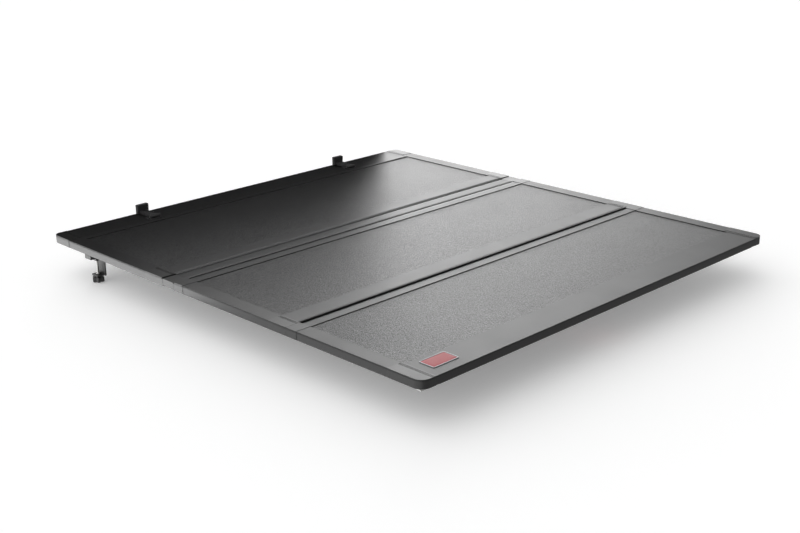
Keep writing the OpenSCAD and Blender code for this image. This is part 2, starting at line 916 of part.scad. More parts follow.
// Studded hand knob with a retaining collar above the bracket's foot
module clamp_knob() {
    knob_top = bracket_low - 1;
    lobes = 6;
    post(-clamp_stud_x, clamp_s, knob_top - 1, -6, stud_r);
    post(-clamp_stud_x, clamp_s, bracket_low + bracket_t + 0.3, bracket_low + bracket_t + 4, stud_r + 3);
    post(-clamp_stud_x, clamp_s, knob_top - knob_h, knob_top, knob_r - 4);
    translate([-clamp_stud_x, y_at(clamp_s), knob_top - knob_h]) {
        for (i = [0 : lobes - 1]) {
            rotate(i * 360 / lobes) translate([knob_r - 6, 0, 0]) cylinder(r = 6, h = knob_h - 4);
        }
    }
}

// Jaw that rises under the bed rail's flange
module clamp_jaw() {
    s0 = clamp_s - 18;
    s1 = clamp_s + 18;
    difference() {
        union() {
            block(-clamp_stud_x - 14, -bracket_web_x - bracket_t - slip, s0, s1, jaw_top - 22, jaw_top - 6);
            block(-jaw_reach_x, -clamp_stud_x - 10, s0, s1, jaw_top - 14, jaw_top - 6);
            block(-jaw_reach_x, -jaw_reach_x + 10, s0, s1, jaw_top - 8, jaw_top);
        }
        post(-clamp_stud_x, clamp_s, jaw_top - 23, jaw_top, stud_r + run_gap);
    }
}

module front_clamp_brackets() color([0.08, 0.08, 0.08]) both_sides() clamp_bracket();
module left_clamp_knob() color([0.04, 0.04, 0.04]) clamp_knob();
module right_clamp_knob() color([0.04, 0.04, 0.04]) on_right() clamp_knob();
module left_clamp_jaw() color([0.08, 0.08, 0.08]) clamp_jaw();
module right_clamp_jaw() color([0.08, 0.08, 0.08]) on_right() clamp_jaw();

// ---- Rear latch ----

module release_bracket() {
    color([0.6, 0.6, 0.62]) difference() {
        block(-35, 35, hub_s - channel_w / 2 + 1, hub_s + channel_w / 2 - 1, channel_top - 4, channel_top);
        post(0, hub_s, channel_top - 5, channel_top + 1, shaft_r + run_gap);
        post(0, hub_s, channel_top - 2, channel_top + 1, shaft_r + 3.1);
    }
}

// Handle: hub disc with two drive pins, retained shaft and a lever along +X
module release_handle() {
    grip_r = 9;
    color([0.55, 0.05, 0.05]) {
        post(0, hub_s, hub_z - hub_t, hub_z, drive_r + drive_pin_r + 2);
        post(0, hub_s, -1, channel_top - 0.5, shaft_r);
        post(0, hub_s, channel_top - 1.9, channel_top - 0.1, shaft_r + 3);
        for (side = [-1, 1]) {
            post(side * drive_x, hub_s - side * drive_y, hub_z - 1, rod_z + rod_plate_t / 2 + 1, drive_pin_r);
        }
        post(0, hub_s, -1 - lever_t, hub_z - hub_t + 0.5, 15);
        block(0, lever_l, hub_s - 7, hub_s + 7, -1 - lever_t, -1);
        post(lever_l, hub_s, -1 - lever_t, -1, grip_r);
    }
}

// Return spring around the handle's shaft: a round wire swept along a helix
module release_spring() {
    wire_r = 0.8;
    coil_r = shaft_r + 3;
    turns = 4;
    steps = 20;
    sides = 8;
    low = hub_z + wire_r + 0.2;
    rise = (channel_top - 4 - wire_r - 0.2 - low) / (turns * steps);
    last = turns * steps;
    points = [
        for (i = [0 : last]) for (j = [0 : sides - 1])
            let (turn = 360 * i / steps, out = coil_r + wire_r * cos(360 * j / sides))
                [out * cos(turn), out * sin(turn), low + i * rise + wire_r * sin(360 * j / sides)]
    ];
    walls = [
        for (i = [0 : last - 1]) for (j = [0 : sides - 1])
            let (a = i * sides + j, b = i * sides + (j + 1) % sides) [a, b, b + sides, a + sides]
    ];
    ends = [[for (j = [sides - 1 : -1 : 0]) j], [for (j = [0 : sides - 1]) last * sides + j]];
    color([0.7, 0.7, 0.72]) translate([0, y_at(hub_s), 0]) polyhedron(points, concat(walls, ends));
}

// Right latch rod: slotted plate at the hub, round rod, riser and bolt blade
module latch_rod() {
    slot_play = 0.1;
    centre_s = hub_s - rod_y;
    plate_x = 44;
    difference() {
        union() {
            block(drive_x - 8, plate_x, centre_s - rod_plate_w / 2, centre_s + rod_plate_w / 2,
                  rod_z - rod_plate_t / 2, rod_z + rod_plate_t / 2);
            translate([plate_x - 4, y_at(centre_s), rod_z]) rotate([0, 90, 0])
                cylinder(r = rod_r, h = riser_x - plate_x + 6);
            block(riser_x, riser_x + 12, centre_s - 8, centre_s + 8, bolt_bottom, rod_z + rod_r);
            between(centre_s - 8, centre_s + 8) polygon([
                [riser_x, bolt_bottom], [bolt_x - 3, bolt_bottom], [bolt_x, bolt_bottom + 3],
                [bolt_x, bolt_top], [riser_x, bolt_top]
            ]);
        }
        block(drive_x - drive_pin_r - slot_play, drive_x + drive_pin_r + slot_play,
              centre_s - 4, centre_s + 4, 0, 20);
    }
}

module right_latch_rod() color([0.7, 0.7, 0.72]) latch_rod();

module left_latch_rod() {
    color([0.7, 0.7, 0.72]) translate([0, y_at(hub_s), 0]) rotate(180) translate([0, -y_at(hub_s), 0])
        latch_rod();
}

// Guide blocks, two on each rod, hung from the channel's roof
module latch_rod_guides() {
    guide_w = 24;
    color([0.06, 0.06, 0.06]) for (side = [-1, 1]) for (x = [riser_x * 0.33, riser_x - 56]) {
        centre_s = hub_s - side * rod_y;
        difference() {
            block(side * x - guide_w / 2, side * x + guide_w / 2, centre_s - 8, centre_s + 8,
                  rod_z - rod_r - 1, channel_top);
            translate([side * x - guide_w, y_at(centre_s), rod_z]) rotate([0, 90, 0])
                cylinder(r = rod_r + run_gap, h = 2 * guide_w);
        }
    }
}

front_panel_skin();
front_panel_core();
front_panel_liner();
front_header_rail();
front_panel_rear_rail();
front_panel_left_rail();
front_panel_right_rail();
front_left_corner();
front_right_corner();
front_panel_rear_left_corner();
front_panel_rear_right_corner();
front_seal();
front_panel_side_seals();
front_panel_screws();
hinge_link();
hinge_link_end_caps();
middle_panel_skin();
middle_panel_core();
middle_panel_liner();
middle_panel_front_rail();
middle_panel_rear_rail();
middle_panel_left_rail();
middle_panel_right_rail();
middle_panel_front_caps();
middle_panel_rear_left_corner();
middle_panel_rear_right_corner();
middle_panel_side_seals();
middle_panel_screws();
rear_hinge_pin();
rear_panel_skin();
rear_panel_core();
rear_panel_liner();
rear_panel_front_rail();
tail_rail();
rear_panel_left_rail();
rear_panel_right_rail();
rear_panel_front_caps();
rear_left_corner();
rear_right_corner();
rear_seal();
rear_panel_side_seals();
rear_panel_screws();
badge();
stow_hook_bases();
stow_hook_pins();
left_stow_hook();
left_hook_pad();
right_stow_hook();
right_hook_pad();
front_clamp_brackets();
left_clamp_knob();
left_clamp_jaw();
right_clamp_knob();
right_clamp_jaw();
release_bracket();
release_handle();
release_spring();
left_latch_rod();
right_latch_rod();
latch_rod_guides();
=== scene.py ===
"""Looks for the tri-fold tonneau cover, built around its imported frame.

Metres; +X is the vehicle's right, +Y forward, +Z up. CAD parts with the right shape keep their
mesh and get eased edges and a material. Sheets, seals, pads, knobs, screws, the spring and the
badge are modelled here and stand for their plain CAD nodes.
"""
import json
import math

import bmesh
import bpy
from mathutils import Matrix, Vector

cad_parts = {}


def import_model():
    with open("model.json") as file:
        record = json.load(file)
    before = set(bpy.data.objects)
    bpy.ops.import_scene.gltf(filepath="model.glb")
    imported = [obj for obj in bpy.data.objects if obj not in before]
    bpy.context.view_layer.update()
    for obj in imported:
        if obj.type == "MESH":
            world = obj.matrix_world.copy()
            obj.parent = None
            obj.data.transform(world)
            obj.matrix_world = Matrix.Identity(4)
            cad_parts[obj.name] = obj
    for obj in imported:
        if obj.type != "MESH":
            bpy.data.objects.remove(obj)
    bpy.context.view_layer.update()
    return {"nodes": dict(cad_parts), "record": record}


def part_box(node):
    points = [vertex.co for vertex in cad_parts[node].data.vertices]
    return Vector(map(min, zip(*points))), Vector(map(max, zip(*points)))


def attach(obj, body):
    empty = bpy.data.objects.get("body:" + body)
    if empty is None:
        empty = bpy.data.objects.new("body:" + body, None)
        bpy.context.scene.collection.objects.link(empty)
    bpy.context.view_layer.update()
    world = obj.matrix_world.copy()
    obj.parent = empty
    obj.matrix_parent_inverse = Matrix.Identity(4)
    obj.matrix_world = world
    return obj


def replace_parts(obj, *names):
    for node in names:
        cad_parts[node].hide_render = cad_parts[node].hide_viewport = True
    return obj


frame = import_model()
NODES = frame["nodes"]
RECORD = frame["record"]
BODY_OF = {node: body for body, nodes in RECORD["behaviour"]["bodies"].items() for node in nodes}
SLOT_OF = {part["node"]: part["material_slot"] for part in RECORD["subparts"]}

MM = 0.001
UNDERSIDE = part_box("front_header_rail")[0].z


# ---- Shader helpers ----

class Shader:
    """A material with a Principled shader and short calls for the nodes around it."""

    def __init__(self, name):
        self.material = bpy.data.materials.new(name)
        self.material.use_nodes = True
        self.tree = self.material.node_tree
        self.principled = self.tree.nodes["Principled BSDF"]
        self.position = self.node("ShaderNodeTexCoord").outputs["Object"]

    def node(self, kind, **inputs):
        made = self.tree.nodes.new(kind)
        for name, value in inputs.items():
            self.set(made.inputs[name], value)
        return made

    def set(self, socket, value):
        if isinstance(value, bpy.types.NodeSocket):
            self.tree.links.new(value, socket)
        else:
            socket.default_value = value

    def finish(self, **inputs):
        for name, value in inputs.items():
            self.set(self.principled.inputs[name.replace("_", " ")], value)
        return self.material

    def stretched(self, scale):
        """The object's coordinates scaled by a vector, for grain that runs one way."""
        return self.node("ShaderNodeMapping", Vector=self.position, Scale=scale).outputs["Vector"]

    def noise(self, size, detail=2.0, vector=None, rough=0.5):
        """Noise with features of about the given size in metres, from 0 to 1."""
        made = self.node("ShaderNodeTexNoise", Vector=vector or self.position, Scale=1 / size,
                         Detail=detail, Roughness=rough)
        return made.outputs["Fac"]

    def cells(self, size):
        """Rounded cells of about the given size in metres."""
        made = self.node("ShaderNodeTexVoronoi", Vector=self.position, Scale=1 / size)
        made.feature = "SMOOTH_F1"
        return made.outputs["Distance"]

    def spread(self, value, low, high, start=0.0, end=1.0):
        """Maps a value from start..end to low..high."""
        made = self.node("ShaderNodeMapRange", Value=value)
        for name, number in (("From Min", start), ("From Max", end), ("To Min", low), ("To Max", high)):
            made.inputs[name].default_value = number
        return made.outputs["Result"]

    def mix(self, factor, a, b):
        """A colour between a and b."""
        made = self.node("ShaderNodeMix")
        made.data_type = "RGBA"
        self.set(made.inputs[0], factor)
        self.set(made.inputs[6], a)
        self.set(made.inputs[7], b)
        return made.outputs[2]

    def math(self, operation, a, b=0.0):
        made = self.node("ShaderNodeMath")
        made.operation = operation
        self.set(made.inputs[0], a)
        self.set(made.inputs[1], b)
        return made.outputs[0]

    def bump(self, height, depth, strength=1.0, normal=None):
        """Surface relief of the given depth in metres, on top of another relief if one is given."""
        made = self.node("ShaderNodeBump", Height=height, Distance=depth, Strength=strength)
        if normal is not None:
            self.set(made.inputs["Normal"], normal)
        return made.outputs["Normal"]


def grey(level):
    return (level, level, 1.03 * level, 1)


def shaded(colour, factor):
    return tuple(factor * c for c in colour) + (1,)


# ---- Materials ----

def textured_skin():
    """Pebbled composite sheet: small rounded grains over a slow unevenness."""
    s = Shader("textured_skin")
    pebble = s.cells(2.4 * MM)
    grain = s.noise(0.9 * MM, 3)
    mottle = s.noise(6 * MM, 4, rough=0.75)
    drift = s.noise(140 * MM, 2)
    relief = s.math("ADD", pebble, s.math("MULTIPLY", grain, 0.5))
    slow = s.bump(mottle, 1.5 * MM, 1.0)
    rough = s.math("ADD", s.spread(mottle, 0.34, 0.50, 0.35, 0.65), s.spread(drift, -0.02, 0.02))
    return s.finish(Base_Color=s.mix(s.spread(mottle, 0, 1, 0.4, 0.6), grey(0.009), grey(0.022)),
                    Roughness=rough, Specular_IOR_Level=s.spread(mottle, 0.2, 0.8, 0.4, 0.6),
                    Normal=s.bump(relief, 0.3 * MM, 0.6, slow))


def coated_rail(name, run):
    """Satin powder coat on an extrusion whose faint drawing lines run along an axis."""
    s = Shader(name)
    lines = s.noise(1.2 * MM, 2, s.stretched(run))
    peel = s.noise(0.8 * MM, 2)
    drift = s.noise(90 * MM, 3)
    relief = s.bump(peel, 0.03 * MM, 0.5, s.bump(lines, 0.03 * MM, 0.35))
    return s.finish(Base_Color=s.mix(drift, grey(0.010), grey(0.014)),
                    Roughness=s.spread(drift, 0.40, 0.47), Normal=relief)


def moulded(name, colour, rough, grain=0.6 * MM, depth=0.05 * MM):
    """Moulded or coated surface with a fine grain and slight unevenness."""
    s = Shader(name)
    drift = s.noise(60 * MM, 3)
    return s.finish(Base_Color=s.mix(drift, shaded(colour, 0.85), shaded(colour, 1.15)),
                    Roughness=s.spread(drift, rough - 0.03, rough + 0.04),
                    Normal=s.bump(s.noise(grain, 3), depth, 0.6))


def metal(name, colour, rough, run=(1, 1, 1)):
    """Bare or plated metal with fine scratches along an axis."""
    s = Shader(name)
    drift = s.noise(20 * MM, 4)
    scratches = s.noise(0.6 * MM, 3, s.stretched(run))
    return s.finish(Base_Color=s.mix(drift, shaded(colour, 0.85), shaded(colour, 1)), Metallic=1.0,
                    Roughness=s.spread(drift, rough - 0.05, rough + 0.08),
                    Normal=s.bump(scratches, 0.02 * MM, 0.5))


def foam():
    """Cut rigid foam with open pores."""
    s = Shader("foam_core")
    pores = s.cells(1.5 * MM)
    return s.finish(Base_Color=s.mix(pores, (0.50, 0.45, 0.32, 1), (0.62, 0.57, 0.43, 1)),
                    Roughness=0.85, Normal=s.bump(pores, 0.4 * MM, 0.8))


def enamel():
    """Deep red enamel over a finely grained plate."""
    s = Shader("badge_enamel")
    grain = s.noise(1.5 * MM, 3)
    return s.finish(Base_Color=s.mix(grain, (0.22, 0.006, 0.010, 1), (0.40, 0.02, 0.03, 1)),
                    Roughness=s.spread(grain, 0.4, 0.55), Specular_IOR_Level=0.3,
                    Normal=s.bump(grain, 0.1 * MM, 0.6))


ALONG_X = (0.01, 1, 1)
ALONG_Y = (1, 0.01, 1)
MATERIALS = {
    "textured_skin": textured_skin(),
    "black_rail": coated_rail("black_rail", ALONG_X),
    "black_side_rail": coated_rail("black_side_rail", ALONG_Y),
    "black_nylon": moulded("black_nylon", (0.014, 0.014, 0.014), 0.40),
    "black_steel": moulded("black_steel", (0.018, 0.018, 0.018), 0.45),
    # The stow hooks' nylon is painted lighter than black_nylon: painted light standing for the light
    # their tops catch.
    "hook_nylon_painted_light": moulded("hook_nylon_painted_light", (0.030, 0.030, 0.031), 0.48),
    "seal_rubber": moulded("seal_rubber", (0.012, 0.012, 0.012), 0.6, 1.5 * MM),
    "lower_skin": moulded("lower_skin", (0.02, 0.02, 0.021), 0.45, 1.2 * MM, 0.08 * MM),
    "foam_core": foam(),
    "zinc_steel": metal("zinc_steel", (0.60, 0.60, 0.58), 0.32),
    "latch_rod": metal("latch_rod", (0.60, 0.60, 0.58), 0.30, ALONG_X),
    "bare_aluminium": metal("bare_aluminium", (0.62, 0.62, 0.63), 0.38, ALONG_X),
    "handle_red": moulded("handle_red", (0.45, 0.02, 0.02), 0.35),
    "badge": enamel(),
    "badge_rim": metal("badge_rim", (0.30, 0.30, 0.31), 0.42),
}


def dress(obj, material):
    obj.data.materials.clear()
    obj.data.materials.append(MATERIALS[material])


def material_of(node):
    """Which material a CAD node gets: its slot's, a variant whose grain runs its way, or for the stow
    hooks a lighter copy of black nylon whose lighter colour is painted light for the light the hooks
    catch.
    """
    if "left_rail" in node or "right_rail" in node:
        return "black_side_rail"
    # The hooks get the lighter copy of black nylon, with painted light in its colour.
    if "hook" in node and SLOT_OF[node] == "black_nylon":
        return "hook_nylon_painted_light"
    if node.endswith("latch_rod"):
        return "latch_rod"
    return SLOT_OF[node]


# ---- CAD parts ----

def ease_edges(obj, width, segments):
    """Rounds a CAD part's edges; its faces are joined first so that the edges are found."""
    weld = obj.modifiers.new("join_faces", "WELD")
    weld.merge_threshold = 0.005 * MM
    bevel = obj.modifiers.new("eased_edges", "BEVEL")
    bevel.width = width
    bevel.segments = segments
    bevel.limit_method = "ANGLE"
    bevel.angle_limit = math.radians(35)
    normals = obj.modifiers.new("normals", "WEIGHTED_NORMAL")
    normals.keep_sharp = False


def ease_width(node):
    if node.endswith("stow_hook"):
        return 1.6 * MM
    if SLOT_OF[node] in ("black_nylon", "handle_red", "black_steel"):
        return 0.6 * MM
    return 0.35 * MM


def dress_cad_parts():
    for node, obj in NODES.items():
        dress(obj, material_of(node))
        ease_edges(obj, ease_width(node), 3 if node.endswith("stow_hook") else 2)


# ---- Form helpers ----

class Form:
    """Points and faces of one new piece, gathered from rings of points."""

    def __init__(self):
        self.points = []
        self.faces = []

    def tube(self, rings, capped=True):
        """Joins closed rings of equal length in turn, and closes both ends if capped."""
        start, count = len(self.points), len(rings[0])
        for ring in rings:
            self.points.extend(ring)
        for i in range(len(rings) - 1):
            for j in range(count):
                a = start + i * count + j
                b = start + i * count + (j + 1) % count
                self.faces.append((a, b, b + count, a + count))
        if capped:
            last = start + (len(rings) - 1) * count
            self.faces.append(tuple(reversed(range(start, start + count))))
            self.faces.append(tuple(range(last, last + count)))

    def make(self, name, node, material=None, sharp=40):
        """The finished piece, riding on the same body as a CAD node."""
        mesh = bpy.data.meshes.new(name)
        mesh.from_pydata(self.points, [], self.faces)
        work = bmesh.new()
        work.from_mesh(mesh)
        bmesh.ops.recalc_face_normals(work, faces=work.faces)
        work.to_mesh(mesh)
        work.free()
        for face in mesh.polygons:
            face.use_smooth = True
        mesh.set_sharp_from_angle(angle=math.radians(sharp))
        obj = bpy.data.objects.new(name, mesh)
        bpy.context.scene.collection.objects.link(obj)
        dress(obj, material or SLOT_OF[node])
        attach(obj, BODY_OF[node])
        return obj


def solids(node):
    """(lowest corner, highest corner) of each separate solid in a CAD node."""
    mesh = NODES[node].data
    keys = [tuple(round(c / (0.01 * MM)) for c in v.co) for v in mesh.vertices]
    group = {key: key for key in keys}

    def root(key):
        while group[key] != key:
            group[key] = group[group[key]]
            key = group[key]
        return key

    for face in mesh.polygons:
        first = root(keys[face.vertices[0]])
        for index in face.vertices[1:]:
            group[root(keys[index])] = first
    boxes = {}
    for key, vertex in zip(keys, mesh.vertices):
        low, high = boxes.setdefault(root(key), (vertex.co.copy(), vertex.co.copy()))
        for axis in range(3):
            low[axis] = min(low[axis], vertex.co[axis])
            high[axis] = max(high[axis], vertex.co[axis])
    return sorted(boxes.values(), key=lambda pair: (pair[0].x, pair[0].y))


def smooth(value):
    value = min(1.0, max(0.0, value))
    return value * value * (3 - 2 * value)


def circle(centre, z, radius, count=32):
    """A ring of points; radius is a number or a function of the angle."""
    ring = []
    for i in range(count):
        angle = 2 * math.pi * i / count
        r = radius(angle) if callable(radius) else radius
        ring.append((centre.x + r * math.cos(angle), centre.y + r * math.sin(angle), z))
    return ring


def middle(box):
    return (box[0] + box[1]) / 2


# ---- Panel sheets ----

GUTTER = [d * MM for d in (0.0, 0.3, 1.0, 1.5, 2.0, 2.6, 3.2, 4.2, 8.0)]
GUTTER_WIDTH = 2.6 * MM
GUTTER_DEPTH = 1.4 * MM
UNDER_LIP = 0.4 * MM
CROWN = 0.5 * MM


def sheet_lines(low, lip_low, lip_high, high, step):
    """Where a sheet's mesh lines lie along one axis: close together in its gutters."""
    first = [low, lip_low - 1 * MM] + [lip_low + d for d in GUTTER]
    last = [lip_high - d for d in reversed(GUTTER)] + [lip_high + 1 * MM, high]
    count = round((last[0] - first[-1]) / step)
    inner = [first[-1] + (last[0] - first[-1]) * i / count for i in range(1, count)]
    return first + inner + last


def sheet_drop(inside):
    """How far the sheet lies below its level, by the distance inside the nearest rail lip."""
    if inside < 0:
        return UNDER_LIP
    return GUTTER_DEPTH * (1 - smooth((inside - GUTTER[1]) / (GUTTER_WIDTH - GUTTER[1])))


def skin_sheet(panel, front_rail, rear_rail):
    """A panel's top sheet, slightly crowned, with a narrow gutter along the rails' lips."""
    node = f"{panel}_panel_skin"
    low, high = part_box(node)
    lip_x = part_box(f"{panel}_panel_right_rail")[0].x
    lip_rear, lip_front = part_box(rear_rail)[1].y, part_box(front_rail)[0].y
    xs = sheet_lines(low.x, -lip_x, lip_x, high.x, 40 * MM)
    ys = sheet_lines(low.y, lip_rear, lip_front, high.y, 40 * MM)
    form = Form()
    for y in ys:
        for x in xs:
            inside = min(lip_x - abs(x), y - lip_rear, lip_front - y)
            across = max(0.0, 1 - (x / lip_x) ** 2)
            along = max(0.0, 4 * (y - lip_rear) * (lip_front - y) / (lip_front - lip_rear) ** 2)
            form.points.append((x, y, high.z - sheet_drop(inside) + CROWN * across * along))
    width, length = len(xs), len(ys)
    for j in range(length - 1):
        for i in range(width - 1):
            a = j * width + i
            form.faces.append((a, a + 1, a + 1 + width, a + width))
    corner = len(form.points)
    form.points += [(low.x, low.y, low.z), (high.x, low.y, low.z), (high.x, high.y, low.z),
                    (low.x, high.y, low.z)]
    rear = list(range(width))
    front = [(length - 1) * width + i for i in range(width)]
    left = [j * width for j in range(length)]
    right = [j * width + width - 1 for j in range(length)]
    form.faces.append(tuple(reversed(rear)) + (corner, corner + 1))
    form.faces.append(tuple(front) + (corner + 2, corner + 3))
    form.faces.append(tuple(left) + (corner + 3, corner))
    form.faces.append(tuple(reversed(right)) + (corner + 1, corner + 2))
    form.faces.append((corner, corner + 3, corner + 2, corner + 1))
    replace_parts(form.make(f"{panel}_panel_top_sheet", node), node)


# ---- Seals and pads ----

def seal_section(width, ribs=3, steps=24):
    """(across, height) points of a ribbed seal's outline: its flat top, then its ribs."""
    outline = [(width / 2, UNDERSIDE), (-width / 2, UNDERSIDE)]
    for i in range(steps + 1):
        t = i / steps
        height = 0.45 * UNDERSIDE * (0.5 + 0.5 * math.cos(2 * math.pi * ribs * t))
        outline.append(((t - 0.5) * width, height))
    return outline


def ribbed_seal(name, node, along_x):
    """Rubber seal with ribs that run its length and tapered ends, one run per CAD solid."""
    taper = ((0, 0.7), (1 * MM, 0.88), (3 * MM, 1.0))
    form = Form()
    for low, high in solids(node):
        centre = middle((low, high))
        start, end = (low.x, high.x) if along_x else (low.y, high.y)
        width = high.y - low.y if along_x else high.x - low.x
        section = seal_section(width)
        rings = [(start + inset, scale) for inset, scale in taper]
        rings += [(end - inset, scale) for inset, scale in reversed(taper)]
        if along_x:
            form.tube([[(p, centre.y + scale * u, z) for u, z in section] for p, scale in rings])
        else:
            form.tube([[(centre.x + scale * u, p, z) for u, z in section] for p, scale in rings])
    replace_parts(form.make(name, node, sharp=60), node)


def hook_pad(side):
    """Ribbed rubber pad on a stow hook's lip."""
    node = f"{side}_hook_pad"
    low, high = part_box(node)
    ribs, steps, depth = 5, 40, 1.2 * MM
    outline = [(high.y, high.z), (high.y, low.z)]
    for i in range(steps + 1):
        t = i / steps
        wave = 0.5 + 0.5 * math.cos(2 * math.pi * ribs * t)
        outline.append((low.y + depth * wave, low.z + t * (high.z - low.z)))
    form = Form()
    ends = [(low.x, 0.9), (low.x + 1.5 * MM, 1.0), (high.x - 1.5 * MM, 1.0), (high.x, 0.9)]
    mid = middle((low, high))
    form.tube([[(x, y, mid.z + scale * (z - mid.z)) for y, z in outline] for x, scale in ends])
    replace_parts(form.make(f"{side}_hook_rubber", node, sharp=50), node)


# ---- Clamps, screws, spring, handle ----

def thread(turns, crest, depth):
    """Radius by angle of a thread that has wound up by a number of turns."""
    def radius(angle):
        wave = abs(2 * ((turns - angle / (2 * math.pi)) % 1) - 1)
        return crest - depth * wave
    return radius


def threaded_stud(form, centre, z0, z1, crest, pitch=2 * MM, depth=0.6 * MM):
    """A stud whose thread winds up along it."""
    rings_per_turn, sides = 6, 24
    count = int((z1 - z0) / pitch * rings_per_turn)
    rings = [circle(centre, z0, crest - depth, sides)]
    for i in range(1, count):
        z = z0 + (z1 - z0) * i / count
        rings.append(circle(centre, z, thread((z - z0) / pitch, crest, depth), sides))
    rings.append(circle(centre, z1, crest - depth, sides))
    form.tube(rings)


def clamp_knob(side):
    """Six-lobed hand knob with a dished base, and its threaded stud with a collar."""
    node = f"{side}_clamp_knob"
    low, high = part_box(node)
    centre = middle((low, high))
    mean_r, lobe_h, lobes = 19 * MM, 2.9 * MM, 6
    foot_t = 5 * MM
    stud_r, stud_start = 4 * MM, low.z + 20 * MM
    # (height in mm, scale of the lobed outline) from the dished base up to the shoulder
    knob_profile = ((0.8, 0.35), (0.3, 0.40), (0.0, 0.55), (0.3, 0.75), (1.5, 0.92), (4, 1.0),
                    (16, 1.0), (19, 0.92), (20.5, 0.78), (21, 0.55), (22, 0.50), (22, 0.30))
    # (height in mm over the bracket's foot, radius in mm)
    collar_profile = ((0.3, 6.2), (0.7, 7), (3.5, 7), (4, 6.2))

    def lobed(scale):
        return lambda angle: scale * (mean_r + lobe_h * math.cos(lobes * angle))

    knob = Form()
    knob.tube([circle(centre, low.z + z * MM, lobed(scale), 96) for z, scale in knob_profile])
    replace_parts(knob.make(f"{side}_knob_grip", node), node)
    foot_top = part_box("front_clamp_brackets")[0].z + foot_t
    stud = Form()
    threaded_stud(stud, centre, stud_start, high.z, stud_r)
    stud.tube([circle(centre, foot_top + z * MM, r * MM) for z, r in collar_profile])
    stud.make(f"{side}_knob_stud", node, "zinc_steel")


def hexagon(flat_r):
    """Radius by angle of a hexagon whose flats lie at a distance from its centre."""
    return lambda angle: flat_r / math.cos((angle % (math.pi / 3)) - math.pi / 6)


def panel_screws(panel):
    """Pan-head screws with a hex recess, one for each of the CAD node's solids."""
    node = f"{panel}_panel_screws"
    sides, recess_r, shank_r = 36, 1.35 * MM, 2.0 * MM
    recess_heights = (1.3, 0.15)
    # (height, radius) in mm of the domed head, from the recess out and up to the shank
    head_profile = ((0.05, 1.8), (0.15, 2.4), (0.45, 3.1), (0.9, 3.5), (1.5, 3.6), (2.2, 3.6),
                    (2.2, 2.0))
    form = Form()
    for low, high in solids(node):
        centre = middle((low, high))
        rings = [circle(centre, low.z + z * MM, hexagon(recess_r), sides) for z in recess_heights]
        rings += [circle(centre, low.z + z * MM, r * MM, sides) for z, r in head_profile]
        rings.append(circle(centre, high.z, shank_r, sides))
        form.tube(rings)
    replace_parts(form.make(f"{panel}_panel_pan_screws", node), node)


def return_spring():
    """Torsion spring around the handle's shaft: six turns with a straight leg at each end."""
    node = "release_spring"
    low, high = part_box(node)
    centre = middle((low, high))
    wire, leg = 0.75 * MM, 5 * MM
    turns, per_turn, sides = 6, 32, 10
    coil = (high.x - low.x) / 2 - wire
    z0, z1 = low.z + wire, high.z - wire
    up, along = Vector((0, 0, 1)), Vector((0, 1, 0))
    path = []
    for i in range(turns * per_turn + 1):
        angle = 2 * math.pi * i / per_turn
        out = Vector((math.cos(angle), math.sin(angle), 0))
        at = Vector((centre.x, centre.y, z0 + (z1 - z0) * i / (turns * per_turn))) + coil * out
        path.append((at, out))
    path = [(path[0][0] - leg * along, path[0][1])] + path
    path.append((path[-1][0] + leg * along, path[-1][1]))
    angles = [2 * math.pi * k / sides for k in range(sides)]
    form = Form()
    form.tube([[at + wire * (math.cos(a) * out + math.sin(a) * up) for a in angles]
               for at, out in path])
    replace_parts(form.make("release_coil_spring", node, sharp=70), node)


def squarish(value):
    """A sine or cosine pushed outwards, so that a ring of them has a rounded square shape."""
    return math.copysign(abs(value) ** 0.4, value)


def handle_grip():
    """Ribbed sleeve around the release lever."""
    node = "release_handle"
    low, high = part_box(node)
    hub = middle(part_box("release_spring"))
    start, end = high.x - 60 * MM, high.x - 16 * MM
    half_y, half_z = 8.6 * MM, 4.5 * MM
    lever_t = 6.5 * MM
    lever_z = low.z + lever_t / 2
    ribs, rib_depth, steps, sides = 7, 0.45 * MM, 84, 40
    angles = [2 * math.pi * k / sides for k in range(sides)]
    rings = []
    for i in range(steps + 1):
        t = i / steps
        rib = rib_depth * (0.5 - 0.5 * math.cos(2 * math.pi * ribs * t))
        scale = 0.8 + 0.2 * smooth(min(t, 1 - t) * 25)
        x = start + t * (end - start)
        rings.append([(x, hub.y + (half_y - rib) * scale * squarish(math.cos(a)),
                       lever_z + (half_z - rib) * scale * squarish(math.sin(a))) for a in angles])
    form = Form()
    form.tube(rings)
    form.make("release_handle_grip", node, "seal_rubber", sharp=60)


# ---- Badge ----

def rounded_rectangle(centre, half_x, half_y, radius, z, per_corner=6):
    """A ring of points with an arc at each corner."""
    ring = []
    for sign_x, sign_y, start in ((1, 1, 0), (-1, 1, 90), (-1, -1, 180), (1, -1, 270)):
        for i in range(per_corner + 1):
            angle = math.radians(start + 90 * i / per_corner)
            ring.append((centre.x + sign_x * (half_x - radius) + radius * math.cos(angle),
                         centre.y + sign_y * (half_y - radius) + radius * math.sin(angle), z))
    return ring


def badge():
    """Blank domed enamel plate in a bright rim."""
    low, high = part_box("badge")
    centre = middle((low, high))
    half = (high - low) / 2
    top = high.z - low.z

    def ring(inset, height, radius):
        """The badge's outline drawn in by an inset in mm, at a share of its height."""
        return rounded_rectangle(centre, half.x - inset * MM, half.y - inset * MM, radius * MM,
                                 low.z + height * top)

    rim = Form()
    rim.tube([ring(0, 0, 5), ring(0, 0.75, 5), ring(0.5, 1, 4.6), ring(3.0, 1, 2.6),
              ring(3.6, 0.7, 2.2), ring(3.6, 0, 2.2), ring(0, 0, 5)], capped=False)
    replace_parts(rim.make("badge_rim", "badge", "badge_rim"), "badge")
    plate = Form()
    plate.tube([ring(3.5, 0, 2.2), ring(3.5, 0.45, 2.2), ring(4.6, 0.62, 2), ring(8, 0.75, 2),
                ring(14, 0.84, 2), ring(20, 0.88, 2)])
    plate.make("badge_plate", "badge")


# ---- Floor, light and camera ----

